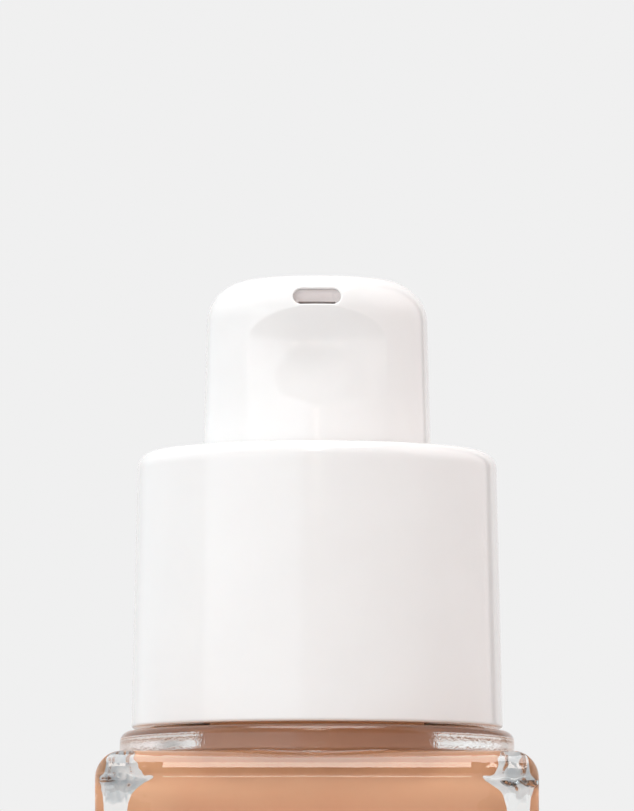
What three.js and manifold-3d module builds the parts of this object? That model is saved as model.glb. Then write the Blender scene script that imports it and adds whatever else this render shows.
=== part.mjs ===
// Foundation bottle: a square, thick-walled glass bottle with a white collar and a press-down pump head.
// Millimetres, +Z up. The origin is the centre of the base, and the nozzle faces -Y.

import * as THREE from 'three';
import { mergeVertices } from 'three/addons/utils/BufferGeometryUtils.js';
import Module from 'manifold-3d';

const wasm = await Module();
wasm.setup();

// ---------------------------------------------------------------- driving dimensions

// Glass bottle
const BODY_WIDTH = 36;            // square in plan
const BODY_HEIGHT = 50;
const BODY_EDGE = 2.3;            // rounding of the top and base edges
const BODY_CORNER = 1;            // rounding of the upright corners
const SIDE_GLASS = 2.5;           // wall at the middle of a face
const BASE_GLASS = 10;            // heavy base
const SHOULDER_GLASS = 1.4;       // glass above the liquid, at the foot of the neck
const CAVITY_CORNER = 4.4;        // rounding of the cavity's upright corners
const DOME_HEIGHT = 3.4;          // the cavity's shoulder, one dome from the walls in to the neck
const DOME_FULLNESS = 2.8;        // its superellipse power: 2 is round, more is squarer
const FLOOR_EDGE_WIDTH = 4;       // rounding round the cavity's floor, across
const FLOOR_EDGE_HEIGHT = 2.6;    // and up
const BASE_DISH_RADIUS = 12;      // shallow push-up under the base
const BASE_DISH_DEPTH = 0.5;
const RING_RADIUS = 16.4;         // round glass step between the body and the collar
const RING_HEIGHT = 2.2;
const RING_EDGE = 0.9;
const NECK_RADIUS = 8.9;
const NECK_HEIGHT = 10.8;         // above the glass step
const NECK_EDGE = 0.6;
const BORE_RADIUS = 6.5;
const BORE_FLARE = 2;             // rounding from the bore out into the shoulder

// Screw thread, 1.25 turns, 8 threads to the inch
const THREAD_PITCH = 3.175;
const THREAD_TURNS = 1.25;
const NECK_THREAD_RADIUS = 0.85;  // round glass thread, radius of its section
const CAP_THREAD_RADIUS = 1;
const NECK_THREAD_START = 4.2;    // above the glass step

// Collar
const COLLAR_BASE_RADIUS = 15.45;
const COLLAR_HEIGHT = 23;
const COLLAR_DRAFT = 0.0222;      // radius lost per millimetre of height
const COLLAR_EDGE = 1.45;
const COLLAR_WALL = 1.45;
const COLLAR_DECK = 1.4;
const COLLAR_GAP = 0.25;          // above the glass step
const HEAD_CLEARANCE = 0.33;      // between the head and the hole that it slides in
const GUIDE_SKIRT = 4.5;          // sleeve that hangs under the collar's top

// Pump head
const HEAD_RADIUS = 9.5;          // at the collar's top
const HEAD_HEIGHT = 14.3;         // above the collar's top
const HEAD_DRAFT = 0.027;
const HEAD_EDGE = 3.6;
const HEAD_WALL = 1.15;
const HEAD_SKIRT = 4.85;          // hidden in the collar
const PAD_RADIUS = 5;             // shallow finger dish on top
const PAD_DEPTH = 0.3;
const ORIFICE_WIDTH = 3.94;
const ORIFICE_HEIGHT = 1.31;
const ORIFICE_DROP = 2;           // its centre below the head's top
const SCOOP_WIDTH = 12.2;         // arched hollow under the orifice, deepest at its top edge
const SCOOP_ARCH = 2.8;           // rise of its arched top
const SCOOP_FALL = 3.2;           // from its widest line down to where it runs out
const SCOOP_DEPTH = 1.2;
const STROKE = 3.8;               // full press

// Pump engine
const FLANGE_RADIUS = 8.6;
const FLANGE_THICKNESS = 1;
const GASKET_THICKNESS = 0.8;
const CHAMBER_RADIUS = 4.2;
const CHAMBER_WALL = 1;
const CHAMBER_DEPTH = 18.8;       // flange top to chamber floor
const STEM_RADIUS = 2.4;
const STEM_BORE = 1.2;
const PISTON_SLIP = 0.6;          // the piston's free play on the stem
const BALL_RADIUS = 1.2;
const BALL_LIFT = 1;
const TUBE_RADIUS = 1.45;
const TUBE_BORE = 0.95;
const TUBE_FLOOR_GAP = 2;
const SPRING_RADIUS = 3.35;       // to the middle of the wire
const SPRING_WIRE = 0.25;

const SLIDING_GAP = 0.1;          // between pieces that slide or turn on each other
const RESTING_GAP = 0.05;         // between pieces clamped face to face
const AROUND = 36;                // sides of a round piece

// ---------------------------------------------------------------- heights worked out from them

const STEP_TOP = BODY_HEIGHT + RING_HEIGHT;
const NECK_TOP = STEP_TOP + NECK_HEIGHT;
const COLLAR_BASE = STEP_TOP + COLLAR_GAP;
const COLLAR_TOP = COLLAR_BASE + COLLAR_HEIGHT;
const HEAD_TOP = COLLAR_TOP + HEAD_HEIGHT;
const HEAD_BASE = COLLAR_TOP - HEAD_SKIRT;
const ORIFICE_Z = HEAD_TOP - ORIFICE_DROP;
const DOME_TOP = BODY_HEIGHT - SHOULDER_GLASS;
const FLANGE_BASE = NECK_TOP + GASKET_THICKNESS;
const FLANGE_TOP = FLANGE_BASE + FLANGE_THICKNESS;
const CHAMBER_FLOOR = FLANGE_TOP - CHAMBER_DEPTH;
const BALL_Z = CHAMBER_FLOOR - 1.9;             // seated ball
const SOCKET_TOP = CHAMBER_FLOOR - 4;
const SOCKET_RADIUS = TUBE_RADIUS + 1.15;       // outside the dip tube's socket
const SOCKET_BASE = CHAMBER_FLOOR - 9.5;
const TUBE_BASE = BASE_GLASS + TUBE_FLOOR_GAP;
const GUIDE_BASE = FLANGE_TOP - 2.4;            // the guide's sleeve, inside the chamber
const GUIDE_TOP = FLANGE_TOP + 2.6;
const STEM_SHOULDER_BASE = GUIDE_BASE - SLIDING_GAP - 1;
const PISTON_TOP = STEM_SHOULDER_BASE - SLIDING_GAP - PISTON_SLIP;
const PISTON_HEIGHT = 4;
const SEAT_TOP = PISTON_TOP - PISTON_HEIGHT - SLIDING_GAP;
const SEAT_THICKNESS = 0.8;
const STEM_TOP = HEAD_TOP - 7.3;
const CORE_BASE = GUIDE_TOP + STROKE + 0.7;
const LIQUID_TOP = STEP_TOP + 1.2;

// ---------------------------------------------------------------- shapes

function point(radius, z) {
  return new THREE.Vector2(radius, z);
}

// Points of an arc in a profile, from one angle to another in degrees.
function arc(centreRadius, centreZ, radius, from, to, steps = 4) {
  const points = [];
  for (let i = 0; i <= steps; i++) {
    const angle = THREE.MathUtils.degToRad(from + ((to - from) * i) / steps);
    points.push(point(centreRadius + radius * Math.cos(angle), centreZ + radius * Math.sin(angle)));
  }
  return points;
}

// A closed mesh as a solid that can be joined and cut, with its faces turned outwards.
function solid(geometry) {
  const bare = new THREE.BufferGeometry();
  bare.setAttribute('position', geometry.getAttribute('position'));
  bare.setIndex(geometry.index);
  const merged = mergeVertices(bare, 1e-4);
  const index = merged.index.array;
  const corners = [];
  for (let i = 0; i < index.length; i += 3) {
    const [a, b, c] = [index[i], index[i + 1], index[i + 2]];
    if (a !== b && b !== c && c !== a) corners.push(a, b, c);
  }
  const positions = Float32Array.from(merged.getAttribute('position').array);
  if (signedVolume(positions, corners) < 0) corners.reverse();
  return new wasm.Manifold(new wasm.Mesh({
    numProp: 3,
    vertProperties: positions,
    triVerts: Uint32Array.from(corners),
  }));
}

function signedVolume(positions, corners) {
  const [a, b, c] = [new THREE.Vector3(), new THREE.Vector3(), new THREE.Vector3()];
  let volume = 0;
  for (let i = 0; i < corners.length; i += 3) {
    a.fromArray(positions, corners[i] * 3);
    b.fromArray(positions, corners[i + 1] * 3);
    c.fromArray(positions, corners[i + 2] * 3);
    volume += a.dot(b.cross(c)) / 6;
  }
  return volume;
}

// A profile of (radius, z) points turned about Z. It starts and ends on the axis, or is a closed ring.
function turned(profile, around = AROUND) {
  const geometry = new THREE.LatheGeometry(profile, around);
  geometry.rotateX(Math.PI / 2);
  return solid(geometry);
}

function ring(profile, around = AROUND) {
  return turned([...profile, profile[0].clone()], around);
}

// A plain round bar along Z, used as a cutter.
function bar(radius, from, to, around = AROUND) {
  return turned([point(0, from), point(radius, from), point(radius, to), point(0, to)], around);
}

// A ring of points round a rounded square at a height: its corner arcs, and points along each side.
function squareRow(halfWidth, corner, z, cornerSteps, sideSteps) {
  const inner = halfWidth - corner;
  const up = new THREE.Vector3(0, 0, 1);
  const row = [];
  for (let quarter = 0; quarter < 4; quarter++) {
    const turn = quarter * Math.PI / 2;
    for (let i = 0; i <= cornerSteps; i++) {
      const angle = (i / cornerSteps) * Math.PI / 2;
      const at = new THREE.Vector3(inner + corner * Math.cos(angle), inner + corner * Math.sin(angle), z);
      row.push(at.applyAxisAngle(up, turn));
    }
    for (let i = 1; i < sideSteps; i++) {
      row.push(new THREE.Vector3(inner * (1 - (2 * i) / sideSteps), halfWidth, z).applyAxisAngle(up, turn));
    }
  }
  return row;
}

// A solid skinned over rings of points stacked upwards, with a flat cap at each end.
function loft(rows) {
  const count = rows[0].length;
  const foot = rows.length * count;
  const head = foot + 1;
  const centres = [rows[0], rows.at(-1)].map((row) => new THREE.Vector3(0, 0, row[0].z));
  const index = [];
  for (let i = 0; i < count; i++) {
    const next = (i + 1) % count;
    const last = foot - count;
    index.push(foot, next, i, head, last + i, last + next);
    for (let low = 0; low < last; low += count) {
      const high = low + count;
      index.push(low + i, low + next, high + next, low + i, high + next, high + i);
    }
  }
  const geometry = new THREE.BufferGeometry().setFromPoints([...rows.flat(), ...centres]);
  geometry.setIndex(index);
  return solid(geometry);
}

// Steps of a quarter turn as [sine, cosine] pairs.
function quarterTurn(steps) {
  return Array.from({ length: steps + 1 }, (_, i) => {
    const angle = (i / steps) * Math.PI / 2;
    return [Math.sin(angle), Math.cos(angle)];
  });
}

// A slot-shaped bar with round ends that runs along Y, centred on a height.
function slotBar(width, height, z, from, to) {
  const radius = height / 2;
  const straight = width / 2 - radius;
  const shape = new THREE.Shape();
  shape.absarc(straight, 0, radius, -Math.PI / 2, Math.PI / 2);
  shape.absarc(-straight, 0, radius, Math.PI / 2, Math.PI * 1.5);
  const geometry = new THREE.ExtrudeGeometry(shape, {
    depth: to - from,
    bevelEnabled: false,
    curveSegments: 5,
  });
  geometry.rotateX(Math.PI / 2);
  geometry.translate(0, to, z);
  return solid(geometry);
}

class Helix extends THREE.Curve {
  // heightAt gives the height at a part of the way along, from 0 to 1.
  constructor(radius, turns, heightAt) {
    super();
    this.radius = radius;
    this.turns = turns;
    this.heightAt = heightAt;
  }

  getPoint(t, target = new THREE.Vector3()) {
    const angle = t * this.turns * 2 * Math.PI;
    return target.set(this.radius * Math.cos(angle), this.radius * Math.sin(angle), this.heightAt(t));
  }
}

// A round wire along a helix.
function coil(helix, wireRadius, stepsPerTurn, curveSegments) {
  const section = new THREE.Shape();
  section.absarc(0, 0, wireRadius, 0, 2 * Math.PI);
  return solid(new THREE.ExtrudeGeometry(section, {
    extrudePath: helix,
    steps: Math.round(helix.turns * stepsPerTurn),
    curveSegments,
  }));
}

function threadRidge(pathRadius, sectionRadius, startZ) {
  const rise = THREAD_PITCH * THREAD_TURNS;
  return coil(new Helix(pathRadius, THREAD_TURNS, (t) => startZ + rise * t), sectionRadius, 24, 4);
}

// ---------------------------------------------------------------- bottle and liquid

const EDGE_STEPS = 4;
const MOUTH_RADIUS = BORE_RADIUS + BORE_FLARE;

// The body's outside. Its top and base edges are rounder than its upright corners, so they meet in mitres.
function bodyBlock() {
  const sharpest = 0.1;
  const rowAt = (inset, z) => {
    const corner = Math.max(BODY_CORNER - inset, sharpest);
    return squareRow(BODY_WIDTH / 2 - inset, corner, z, 3, 1);
  };
  const edge = quarterTurn(EDGE_STEPS).map(([sine, cosine]) => [BODY_EDGE * (1 - sine), BODY_EDGE * (1 - cosine)]);
  return loft([
    ...edge.map(([inset, rise]) => rowAt(inset, rise)),
    ...edge.toReversed().map(([inset, rise]) => rowAt(inset, BODY_HEIGHT - rise)),
  ]);
}

// The room for the liquid: upright walls, a round-edged floor, and a dome up to the foot of the neck.
function cavity(inset) {
  const halfWidth = BODY_WIDTH / 2 - SIDE_GLASS - inset;
  const floor = BASE_GLASS + inset;
  const domeTop = DOME_TOP - inset;
  const floorRows = quarterTurn(EDGE_STEPS).map(([sine, cosine]) => {
    const edge = FLOOR_EDGE_WIDTH * (1 - sine);
    return squareRow(halfWidth - edge, CAVITY_CORNER - edge, floor + FLOOR_EDGE_HEIGHT * (1 - cosine), 4, 4);
  });
  const wall = floorRows.at(-1);
  const mouth = wall.map((at) => new THREE.Vector3(at.x, at.y, 0).setLength(MOUTH_RADIUS - inset));
  const domeRows = quarterTurn(8).map(([sine, cosine]) => {
    const rise = DOME_HEIGHT * (1 - sine ** (2 / DOME_FULLNESS));
    const inwards = 1 - cosine ** (2 / DOME_FULLNESS);
    return wall.map((at, i) => at.clone().lerp(mouth[i], inwards).setZ(domeTop - rise));
  });
  return loft([...floorRows, ...domeRows]);
}

// The round way up from the cavity through the neck, flared where it leaves the shoulder.
function neckBore(inset, top) {
  const radius = BORE_RADIUS - inset;
  const flareRadius = radius + BORE_FLARE;
  const sunk = 0.05;
  const flareZ = DOME_TOP - inset - sunk;
  return turned([
    point(0, flareZ - 1),
    point(flareRadius, flareZ - 1),
    ...arc(flareRadius, flareZ + BORE_FLARE, BORE_FLARE, 270, 180),
    point(radius, top),
    point(0, top),
  ]);
}

function glassBottle() {
  const neck = turned([
    point(0, BODY_HEIGHT - 1),
    point(RING_RADIUS, BODY_HEIGHT - 1),
    ...arc(RING_RADIUS - RING_EDGE, STEP_TOP - RING_EDGE, RING_EDGE, 0, 90),
    ...arc(NECK_RADIUS + 0.8, STEP_TOP + 0.8, 0.8, 270, 180),
    ...arc(NECK_RADIUS - NECK_EDGE, NECK_TOP - NECK_EDGE, NECK_EDGE, 0, 90),
    point(0, NECK_TOP),
  ]);
  const thread = threadRidge(NECK_RADIUS + 0.05, NECK_THREAD_RADIUS, STEP_TOP + NECK_THREAD_START);
  const dish = turned([
    point(0, -1),
    point(BASE_DISH_RADIUS, -1),
    point(BASE_DISH_RADIUS, 0),
    point(BASE_DISH_RADIUS * 0.6, BASE_DISH_DEPTH * 0.7),
    point(0, BASE_DISH_DEPTH),
  ]);
  return bodyBlock().add(neck).add(thread).subtract(cavity(0)).subtract(neckBore(0, NECK_TOP + 1)).subtract(dish);
}

// Fills the bottle into the neck, with room round the pump and its dip tube.
function foundationLiquid() {
  const aroundPump = 0.25;
  const room = turned([
    point(0, TUBE_BASE - 0.5),
    point(TUBE_RADIUS + aroundPump, TUBE_BASE - 0.5),
    point(TUBE_RADIUS + aroundPump, SOCKET_BASE - aroundPump),
    point(SOCKET_RADIUS + aroundPump, SOCKET_BASE - aroundPump),
    point(SOCKET_RADIUS + aroundPump, SOCKET_TOP - 0.6),
    point(CHAMBER_RADIUS + CHAMBER_WALL + aroundPump, CHAMBER_FLOOR - 1.6),
    point(CHAMBER_RADIUS + CHAMBER_WALL + aroundPump, NECK_TOP),
    point(0, NECK_TOP),
  ]);
  const clearOfGlass = 0.12;
  return cavity(clearOfGlass).add(neckBore(clearOfGlass, LIQUID_TOP)).subtract(room);
}

// ---------------------------------------------------------------- collar

function collarRadius(z) {
  return COLLAR_BASE_RADIUS - COLLAR_DRAFT * (z - COLLAR_BASE);
}

const HEAD_HOLE = HEAD_RADIUS + HEAD_CLEARANCE;
const SNAP_TOP = COLLAR_BASE + 0.9;             // bead inside the collar's foot
const CAP_FLANGE_TOP = SNAP_TOP + RESTING_GAP + 1;
const CAP_DECK_BASE = FLANGE_TOP + SLIDING_GAP;
const CAP_DECK_TOP = CAP_DECK_BASE + 1.2;

function collarShell() {
  const topRadius = collarRadius(COLLAR_TOP);
  const inside = (z) => collarRadius(z) - COLLAR_WALL;
  const deckBase = COLLAR_TOP - COLLAR_DECK;
  return ring([
    point(COLLAR_BASE_RADIUS - 0.25, COLLAR_BASE),
    point(COLLAR_BASE_RADIUS, COLLAR_BASE + 0.25),
    ...arc(topRadius - COLLAR_EDGE, COLLAR_TOP - COLLAR_EDGE, COLLAR_EDGE, 0, 90),
    point(HEAD_HOLE + 0.3, COLLAR_TOP),
    point(HEAD_HOLE, COLLAR_TOP - 0.3),
    point(HEAD_HOLE, deckBase - GUIDE_SKIRT),
    point(HEAD_HOLE + 0.9, deckBase - GUIDE_SKIRT),
    point(HEAD_HOLE + 1.1, deckBase),
    point(inside(deckBase) - 0.6, deckBase),
    point(inside(deckBase), deckBase - 0.6),
    point(inside(SNAP_TOP), SNAP_TOP),
    point(inside(SNAP_TOP) - 0.45, SNAP_TOP - 0.35),
    point(inside(COLLAR_BASE), COLLAR_BASE),
  ]);
}

// The threaded cap inside the collar, with ribs that grip the collar's wall.
function innerCap() {
  const boreRadius = 10.2;
  const skirtRadius = 11.8;
  const ribRadius = collarRadius(CAP_DECK_TOP) - COLLAR_WALL - RESTING_GAP;
  const shell = ring([
    point(boreRadius, SNAP_TOP + RESTING_GAP),
    point(ribRadius, SNAP_TOP + RESTING_GAP),
    point(ribRadius, CAP_FLANGE_TOP),
    point(skirtRadius, CAP_FLANGE_TOP + 0.4),
    point(skirtRadius, CAP_DECK_TOP - 0.4),
    point(skirtRadius - 0.4, CAP_DECK_TOP),
    point(6.3, CAP_DECK_TOP),
    point(6.3, CAP_DECK_BASE),
    point(boreRadius, CAP_DECK_BASE),
  ]);
  const threadZ = STEP_TOP + NECK_THREAD_START - THREAD_PITCH / 2;
  let cap = shell.add(threadRidge(boreRadius + 0.15, CAP_THREAD_RADIUS, threadZ));
  const ribs = 12;
  for (let i = 0; i < ribs; i++) {
    const length = ribRadius - skirtRadius + 0.3;
    const height = CAP_DECK_TOP - 1 - CAP_FLANGE_TOP + 0.5;
    const rib = new THREE.BoxGeometry(length, 1, height);
    rib.translate(ribRadius - 0.05 - length / 2, 0, CAP_FLANGE_TOP - 0.5 + height / 2);
    rib.rotateZ((i * 2 * Math.PI) / ribs);
    cap = cap.add(solid(rib));
  }
  return cap;
}

// ---------------------------------------------------------------- pump head

function headRadius(z) {
  return HEAD_RADIUS - HEAD_DRAFT * Math.max(0, z - COLLAR_TOP);
}

// An outline on the XZ plane, drawn out along Y from one place to another.
function frontBar(shape, curveSegments, from, to) {
  const geometry = new THREE.ExtrudeGeometry(shape, {
    depth: to - from,
    bevelEnabled: false,
    curveSegments,
  });
  geometry.rotateX(Math.PI / 2);
  geometry.translate(0, to, 0);
  return solid(geometry);
}

// Hollow in the head's front: an arched outline, and a conical floor that runs out at its foot.
function scoop() {
  const top = ORIFICE_Z - ORIFICE_HEIGHT / 2 - 0.1;
  const widest = top - SCOOP_ARCH;
  const foot = widest - SCOOP_FALL;
  const outline = new THREE.Shape();
  outline.absellipse(0, widest, SCOOP_WIDTH / 2, SCOOP_ARCH, 0, Math.PI);
  outline.absellipse(0, widest, SCOOP_WIDTH / 2, SCOOP_FALL, Math.PI, 2 * Math.PI);
  const floor = ring([
    point(headRadius(foot) + 0.1, foot - 0.1),
    point(HEAD_RADIUS + 2, foot - 0.1),
    point(HEAD_RADIUS + 2, top + 0.1),
    point(headRadius(top) - SCOOP_DEPTH, top + 0.1),
  ], 48);
  return floor.intersect(frontBar(outline, 8, -HEAD_RADIUS - 1, 0));
}

const WEB_RADIUS = HEAD_RADIUS - 2.8;

function headShell() {
  const edgeZ = HEAD_TOP - HEAD_EDGE;
  const edgeRadius = headRadius(edgeZ);
  const outside = [
    point(HEAD_RADIUS, HEAD_BASE),
    point(HEAD_RADIUS, COLLAR_TOP),
    ...arc(edgeRadius - HEAD_EDGE, edgeZ, HEAD_EDGE, 0, 90, 6),
    point(PAD_RADIUS * 0.6, HEAD_TOP - PAD_DEPTH * 0.7),
    point(0, HEAD_TOP - PAD_DEPTH),
  ];
  const innerEdge = HEAD_EDGE - HEAD_WALL;
  const inside = [
    point(0, HEAD_BASE - 1),
    point(HEAD_RADIUS - HEAD_WALL, HEAD_BASE - 1),
    point(HEAD_RADIUS - HEAD_WALL, COLLAR_TOP),
    ...arc(edgeRadius - HEAD_EDGE, edgeZ, innerEdge, 0, 90, 4),
    point(0, HEAD_TOP - HEAD_WALL),
  ];
  // Thicker wall behind the orifice and the scoop.
  const web = slotBar(SCOOP_WIDTH + 2.4, 8.4, ORIFICE_Z - 3.5, -HEAD_RADIUS, 0).subtract(
    bar(WEB_RADIUS, HEAD_BASE, HEAD_TOP));
  const outer = turned([point(0, HEAD_BASE), ...outside]);
  const hollow = turned(inside).subtract(web);
  const orifice = slotBar(ORIFICE_WIDTH, ORIFICE_HEIGHT, ORIFICE_Z, -HEAD_RADIUS - 1, -HEAD_RADIUS + 4);
  return outer.subtract(hollow).subtract(scoop()).subtract(orifice);
}

// Joins the stem to the orifice: an upright socket and a flat spout.
function headCore() {
  const socketRadius = STEM_RADIUS + 1.1;
  const spoutEnd = -WEB_RADIUS + 0.8;
  const chamberTop = ORIFICE_Z + 0.3;
  const body = bar(socketRadius, CORE_BASE, ORIFICE_Z + 0.5, 24);
  const foot = ring([
    point(socketRadius - 0.4, STEM_TOP - 4),
    point(HEAD_RADIUS - HEAD_WALL - SLIDING_GAP - 0.1, STEM_TOP - 4),
    point(HEAD_RADIUS - HEAD_WALL - SLIDING_GAP - 0.1, STEM_TOP - 2.8),
    point(socketRadius - 0.4, STEM_TOP - 2.8),
  ]);
  const spout = slotBar(ORIFICE_WIDTH + 1.6, 1.7, ORIFICE_Z - 0.15, spoutEnd, 0);
  const channel = slotBar(ORIFICE_WIDTH - 0.8, 0.8, ORIFICE_Z - 0.15, spoutEnd - 1, 0);
  return body.add(foot).add(spout)
    .subtract(bar(STEM_RADIUS + SLIDING_GAP, CORE_BASE - 1, STEM_TOP + SLIDING_GAP, 24))
    .subtract(bar(STEM_BORE, STEM_TOP - 1, chamberTop, 24))
    .subtract(channel);
}

// ---------------------------------------------------------------- pump engine

function neckGasket() {
  return ring([
    point(BORE_RADIUS + 0.2, NECK_TOP),
    point(FLANGE_RADIUS, NECK_TOP),
    point(FLANGE_RADIUS, FLANGE_BASE - RESTING_GAP),
    point(BORE_RADIUS + 0.2, FLANGE_BASE - RESTING_GAP),
  ], 32);
}

// Cylinder with the flange at its top, a ball seat at its foot and the dip tube's socket below that.
function pumpHousing() {
  const outer = CHAMBER_RADIUS + CHAMBER_WALL;
  const cageTop = BALL_Z + BALL_RADIUS + BALL_LIFT + SLIDING_GAP;
  const seatZ = BALL_Z - 1.8;                   // where the ball's cone would meet the axis
  return ring([
    point(outer, FLANGE_BASE),
    point(FLANGE_RADIUS, FLANGE_BASE),
    point(FLANGE_RADIUS, FLANGE_TOP),
    point(CHAMBER_RADIUS, FLANGE_TOP),
    point(CHAMBER_RADIUS, CHAMBER_FLOOR),
    point(2.5, CHAMBER_FLOOR),
    point(2.4, cageTop + 0.4),
    point(BALL_RADIUS - 0.15, cageTop + 0.4),
    point(BALL_RADIUS - 0.15, cageTop),
    point(1.7, cageTop),
    point(1.7, seatZ + 1.7),
    point(0.7, seatZ + 0.7),
    point(0.7, SOCKET_TOP),
    point(TUBE_RADIUS + SLIDING_GAP, SOCKET_TOP),
    point(TUBE_RADIUS + SLIDING_GAP, SOCKET_BASE),
    point(SOCKET_RADIUS, SOCKET_BASE),
    point(SOCKET_RADIUS, SOCKET_TOP - 0.4),
    point(outer, CHAMBER_FLOOR - 1.4),
  ], 32);
}

function inletBall() {
  const ball = new THREE.SphereGeometry(BALL_RADIUS, 14, 10);
  ball.rotateX(Math.PI / 2);
  return solid(ball);
}

function dipTube() {
  const tube = ring([
    point(TUBE_BORE, TUBE_BASE),
    point(TUBE_RADIUS, TUBE_BASE),
    point(TUBE_RADIUS, SOCKET_TOP - SLIDING_GAP),
    point(TUBE_BORE, SOCKET_TOP - SLIDING_GAP),
  ], 20);
  const slant = new THREE.BoxGeometry(8, 8, 4);
  slant.rotateY(THREE.MathUtils.degToRad(30));
  slant.translate(0, 0, TUBE_BASE - 1.3);
  return tube.subtract(solid(slant));
}

// Holds the piston in, and guides the stem.
function stemGuide() {
  const bore = STEM_RADIUS + SLIDING_GAP;
  return ring([
    point(bore, GUIDE_BASE),
    point(CHAMBER_RADIUS - SLIDING_GAP, GUIDE_BASE),
    point(CHAMBER_RADIUS - SLIDING_GAP, FLANGE_TOP + RESTING_GAP),
    point(6, FLANGE_TOP + RESTING_GAP),
    point(6, FLANGE_TOP + 1.1),
    point(4.2, FLANGE_TOP + 1.4),
    point(3.9, GUIDE_TOP),
    point(bore, GUIDE_TOP),
  ], 32);
}

function returnSpring() {
  const low = CHAMBER_FLOOR + SPRING_WIRE + RESTING_GAP;
  const high = SEAT_TOP - SEAT_THICKNESS - SPRING_WIRE - RESTING_GAP;
  const deadPitch = 2 * SPRING_WIRE + 0.05;
  const turns = 6.5;
  const end = 1 / turns;                        // share of the wire in one closed end turn
  const height = (t) => {
    if (t < end) return low + (deadPitch * t) / end;
    if (t > 1 - end) return high - (deadPitch * (1 - t)) / end;
    const along = (t - end) / (1 - 2 * end);
    return low + deadPitch + (high - low - 2 * deadPitch) * along;
  };
  return coil(new Helix(SPRING_RADIUS, turns, height), SPRING_WIRE, 12, 3);
}

// Hollow stem, with a shoulder under the guide and two ports that the piston covers.
function pumpStem() {
  const shoulder = STEM_RADIUS + 0.5;
  const stem = ring([
    point(STEM_BORE, SEAT_TOP + RESTING_GAP),
    point(STEM_RADIUS, SEAT_TOP + RESTING_GAP),
    point(STEM_RADIUS, STEM_SHOULDER_BASE),
    point(shoulder, STEM_SHOULDER_BASE),
    point(shoulder, STEM_SHOULDER_BASE + 1),
    point(STEM_RADIUS, STEM_SHOULDER_BASE + 1),
    point(STEM_RADIUS, STEM_TOP),
    point(STEM_BORE, STEM_TOP),
  ], 24);
  const port = new THREE.CylinderGeometry(0.45, 0.45, 2 * STEM_RADIUS + 1, 10);
  port.translate(0, 0, SEAT_TOP + 2.6);
  return stem.subtract(solid(port));
}

// Plugs the stem's foot and carries the piston on the way up.
function pistonSeat() {
  const flange = STEM_RADIUS + 0.8;
  return turned([
    point(0, SEAT_TOP - SEAT_THICKNESS),
    point(flange, SEAT_TOP - SEAT_THICKNESS),
    point(flange, SEAT_TOP - 0.2),
    point(flange - 0.2, SEAT_TOP),
    point(STEM_BORE - 0.08, SEAT_TOP),
    point(STEM_BORE - 0.08, SEAT_TOP + 1.7),
    point(STEM_BORE - 0.4, SEAT_TOP + 2),
    point(0, SEAT_TOP + 2),
  ], 24);
}

// Soft ring with a wiping lip at each end.
function piston() {
  const low = PISTON_TOP - PISTON_HEIGHT;
  const lip = CHAMBER_RADIUS - 0.05;
  const inner = STEM_RADIUS + SLIDING_GAP;
  return ring([
    point(inner, low),
    point(lip - 1, low + 0.1),
    point(lip - 0.8, low + 1),
    point(lip - 0.25, low),
    point(lip, low + 0.1),
    point(lip - 0.45, low + 1.6),
    point(lip - 0.45, PISTON_TOP - 1.6),
    point(lip, PISTON_TOP - 0.1),
    point(lip - 0.25, PISTON_TOP),
    point(lip - 0.8, PISTON_TOP - 1),
    point(lip - 1, PISTON_TOP - 0.1),
    point(inner, PISTON_TOP),
  ], 32);
}

// ---------------------------------------------------------------- materials

const clearGlass = { color: 0xdfe6e4, roughness: 0.02, metalness: 0, transparent: true, opacity: 0.35 };
const tanLiquid = { color: 0xd2936f, roughness: 0.35, metalness: 0 };
const glossWhite = { color: 0xf6f3f1, roughness: 0.12, metalness: 0 };
const naturalWhite = { color: 0xeceae4, roughness: 0.4, metalness: 0 };
const softWhite = { color: 0xe4e4e0, roughness: 0.55, metalness: 0 };
const gasketFoam = { color: 0xdcdcd6, roughness: 0.8, metalness: 0 };
const springSteel = { color: 0xb9bcc0, roughness: 0.25, metalness: 1 };

// ---------------------------------------------------------------- assembly

const bottle = new THREE.Group();

function place(name, shape, finish, position = [0, 0, 0]) {
  const made = shape.getMesh();
  const geometry = new THREE.BufferGeometry();
  geometry.setAttribute('position', new THREE.BufferAttribute(Float32Array.from(made.vertProperties), 3));
  geometry.setIndex(new THREE.BufferAttribute(Uint32Array.from(made.triVerts), 1));
  geometry.computeVertexNormals();
  const mesh = new THREE.Mesh(geometry, new THREE.MeshStandardMaterial(finish));
  mesh.name = name;
  mesh.position.set(...position);
  bottle.add(mesh);
}

place('glass_bottle', glassBottle(), clearGlass);
place('foundation_liquid', foundationLiquid(), tanLiquid);
place('collar_shell', collarShell(), glossWhite);
place('inner_cap', innerCap(), naturalWhite);
place('neck_gasket', neckGasket(), gasketFoam);
place('pump_housing', pumpHousing(), naturalWhite);
place('stem_guide', stemGuide(), naturalWhite);
place('dip_tube', dipTube(), naturalWhite);
place('inlet_ball', inletBall(), springSteel, [0, 0, BALL_Z]);
place('return_spring', returnSpring(), springSteel);
place('piston', piston(), softWhite);
place('piston_seat', pistonSeat(), naturalWhite);
place('pump_stem', pumpStem(), naturalWhite);
place('head_core', headCore(), naturalWhite);
place('head_shell', headShell(), glossWhite);

export default bottle;
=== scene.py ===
import math

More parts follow.
